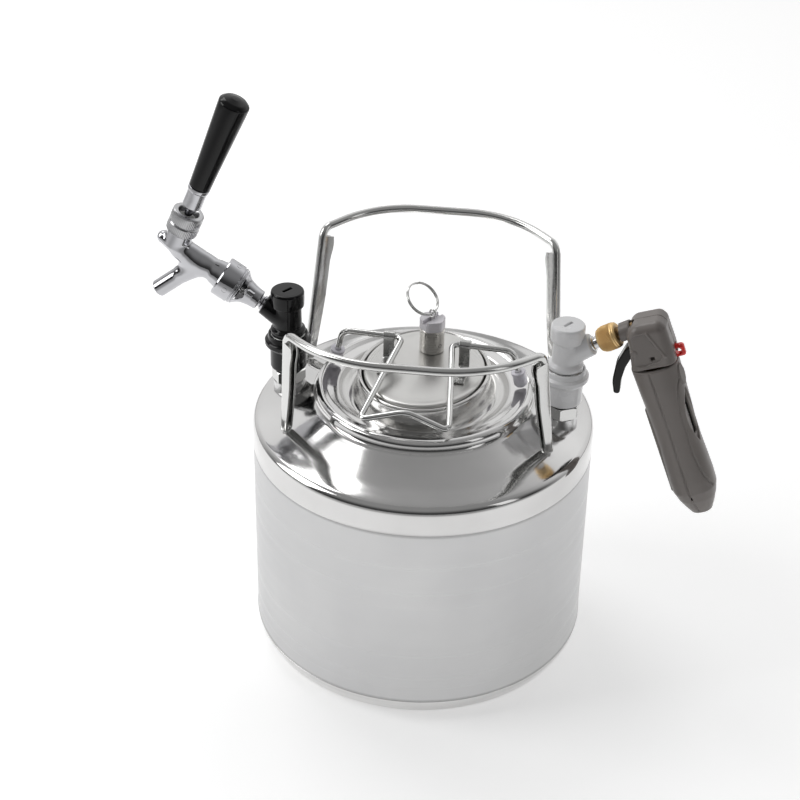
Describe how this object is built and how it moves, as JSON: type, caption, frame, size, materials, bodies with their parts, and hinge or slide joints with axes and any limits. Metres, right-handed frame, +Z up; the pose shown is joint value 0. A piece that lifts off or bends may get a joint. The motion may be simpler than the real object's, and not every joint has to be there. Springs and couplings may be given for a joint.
{
  "type": "soda keg with tap and gas charger",
  "caption": "Small ball-lock soda keg with oval bailed lid, two loop handles, a swivelling tap on the liquid post and a cartridge gas charger on the gas post.",
  "frame": {"origin": "centre of the keg's base, on the plane of the resting ring", "axes": "+Z up, +X from the liquid post towards the gas post and charger, -Y towards the side the lid's bail loop lies on"},
  "size_m": [0.3706, 0.22, 0.3734],
  "materials": {
    "wall_satin": "satin",
    "dome_polished": "polished",
    "lid_steel": "polished",
    "handle_steel": "polished",
    "wire_steel": "polished",
    "machined_steel": "machined",
    "spring_steel": "drawn",
    "faucet_chrome": "mirror",
    "black_gloss_plastic": "gloss",
    "grey_plastic": "satin gloss",
    "cap_grey_plastic": "satin",
    "clear_lilac_plastic": "translucent",
    "charger_plastic": "matte",
    "trigger_black": "gloss",
    "latch_red": "gloss",
    "brass": "machined",
    "seal_rubber": "moulded",
    "white_washer": "moulded",
    "cartridge_steel": "zinc plated"
  },
  "bodies": {
    "root": {"keg_wall": "wall_satin", "keg_bottom_dome": "dome_polished", "keg_top_dome": "dome_polished", "lid_mouth_ring": "lid_steel", "front_handle": "handle_steel", "rear_handle": "handle_steel", "post_bungs": "machined_steel", "posts": "machined_steel", "dip_tubes": "wire_steel", "post_seals": "seal_rubber", "post_poppets": "machined_steel", "poppet_springs": "spring_steel"},
    "lid": {"lid_plate": "lid_steel", "lid_gasket": "seal_rubber", "bail_brackets": "lid_steel", "prv_body": "machined_steel", "prv_locknut": "machined_steel", "prv_cap": "cap_grey_plastic", "prv_spring": "spring_steel"},
    "bail": {"lid_bail": "wire_steel", "bail_feet": "clear_lilac_plastic"},
    "prv_stem": {"prv_stem": "wire_steel"},
    "prv_ring": {"prv_ring": "wire_steel"},
    "liquid_disconnect": {"liquid_disconnect_body": "black_gloss_plastic", "liquid_disconnect_cap": "black_gloss_plastic", "liquid_disconnect_springs": "spring_steel", "liquid_plunger": "white_washer", "liquid_lock_balls": "machined_steel", "liquid_flare_fitting": "faucet_chrome", "faucet_adapter": "faucet_chrome", "coupling_washer": "seal_rubber", "faucet_body": "faucet_chrome", "faucet_bonnet": "faucet_chrome", "faucet_ball_washer": "white_washer"},
    "liquid_collar": {"liquid_release_collar": "black_gloss_plastic"},
    "coupling_nut": {"coupling_nut": "faucet_chrome"},
    "faucet_shaft": {"faucet_shaft": "machined_steel", "faucet_seat_washer": "seal_rubber"},
    "tap_lever": {"faucet_lever": "faucet_chrome", "handle_ferrule": "faucet_chrome", "tap_handle": "black_gloss_plastic"},
    "gas_disconnect": {"gas_disconnect_body": "grey_plastic", "gas_disconnect_cap": "grey_plastic", "gas_disconnect_springs": "spring_steel", "gas_plunger": "white_washer", "gas_lock_balls": "machined_steel", "gas_flare_fitting": "machined_steel", "charger_valve_block": "brass", "charger_head_front": "charger_plastic", "charger_head_rear": "charger_plastic", "charger_trigger_pin": "machined_steel", "charger_piercer": "machined_steel"},
    "gas_collar": {"gas_release_collar": "grey_plastic"},
    "charger_nut": {"charger_nut": "brass"},
    "trigger": {"charger_trigger": "trigger_black"},
    "valve_pin": {"charger_valve_pin": "machined_steel"},
    "safety_latch": {"safety_latch": "latch_red"},
    "sleeve": {"cartridge_sleeve": "charger_plastic", "co2_cartridge": "cartridge_steel", "cartridge_gasket": "seal_rubber"}
  },
  "joints": [
    {"name": "bail_swing", "type": "hinge", "parent": "lid", "child": "bail", "pos_m": [0, 0.0075, 0.2155], "axis": [-1, 0, 0], "range_deg": [0, 95]},
    {"name": "lid_drop", "type": "slide", "parent": "root", "child": "lid", "axis": [0, 0, -1], "range_m": [0, 0.004]},
    {"name": "prv_lift", "type": "slide", "parent": "lid", "child": "prv_stem", "axis": [0, 0, 1], "range_m": [0, 0.0025], "stiffness_N_per_m": 150, "springref_m": -0.004, "deforming": ["prv_spring"]},
    {"name": "prv_ring_swing", "type": "hinge", "parent": "prv_stem", "child": "prv_ring", "pos_m": [0, 0.023, 0.2268], "axis": [0.4695, 0.8829, 0], "range_deg": [0, 98]},
    {"name": "liquid_swivel", "type": "hinge", "parent": "root", "child": "liquid_disconnect", "pos_m": [-0.0895, 0, 0.2], "axis": [0, 0, 1], "range_deg": [-50, 50]},
    {"name": "liquid_collar_lift", "type": "slide", "parent": "liquid_disconnect", "child": "liquid_collar", "axis": [0, 0, 1], "range_m": [0, 0.003], "stiffness_N_per_m": 300, "springref_m": -0.003, "deforming": ["liquid_disconnect_springs"]},
    {"name": "coupling_nut_turn", "type": "hinge", "parent": "liquid_disconnect", "child": "coupling_nut", "pos_m": [-0.12702, 0, 0.24599], "axis": [-0.8526, 0, 0.5225], "continuous": true},
    {"name": "tap_pull", "type": "hinge", "parent": "liquid_disconnect", "child": "tap_lever", "pos_m": [-0.15564, 0, 0.28322], "axis": [0, -1, 0], "range_deg": [0, 20]},
    {"name": "faucet_shaft_slide", "type": "slide", "parent": "liquid_disconnect", "child": "faucet_shaft", "axis": [0.8526, 0, -0.5225], "range_m": [0, 0.006]},
    {"name": "gas_swivel", "type": "hinge", "parent": "root", "child": "gas_disconnect", "pos_m": [0.0895, 0, 0.2], "axis": [0, 0, 1], "range_deg": [-50, 50]},
    {"name": "gas_collar_lift", "type": "slide", "parent": "gas_disconnect", "child": "gas_collar", "axis": [0, 0, 1], "range_m": [0, 0.003], "stiffness_N_per_m": 300, "springref_m": -0.003, "deforming": ["gas_disconnect_springs"]},
    {"name": "charger_nut_turn", "type": "hinge", "parent": "gas_disconnect", "child": "charger_nut", "pos_m": [0.11252, 0, 0.23711], "axis": [0.8526, 0, 0.5225], "continuous": true},
    {"name": "trigger_squeeze", "type": "hinge", "parent": "gas_disconnect", "child": "trigger", "pos_m": [0.1315, 0, 0.2355], "axis": [0, -1, 0], "range_deg": [0, 10], "stiffness_Nm_per_rad": 0.03, "springref_deg": -5.73},
    {"name": "valve_pin_push", "type": "slide", "parent": "gas_disconnect", "child": "valve_pin", "axis": [0.9342, 0, 0.3567], "range_m": [0, 0.00104]},
    {"name": "safety_latch_slide", "type": "slide", "parent": "gas_disconnect", "child": "safety_latch", "axis": [0.9342, 0, 0.3567], "range_m": [0, 0.004]},
    {"name": "sleeve_unscrew", "type": "hinge", "parent": "gas_disconnect", "child": "sleeve", "pos_m": [0.1453, 0, 0.2227], "axis": [0.3567, 0, -0.9342], "continuous": true}
  ],
  "couplings": [
    {"joint": "bail_swing", "follows": "lid_drop", "rad_per_m": 414.5},
    {"joint": "tap_pull", "follows": "faucet_shaft_slide", "rad_per_m": 58.14},
    {"joint": "trigger_squeeze", "follows": "valve_pin_push", "rad_per_m": 166.6}
  ]
}
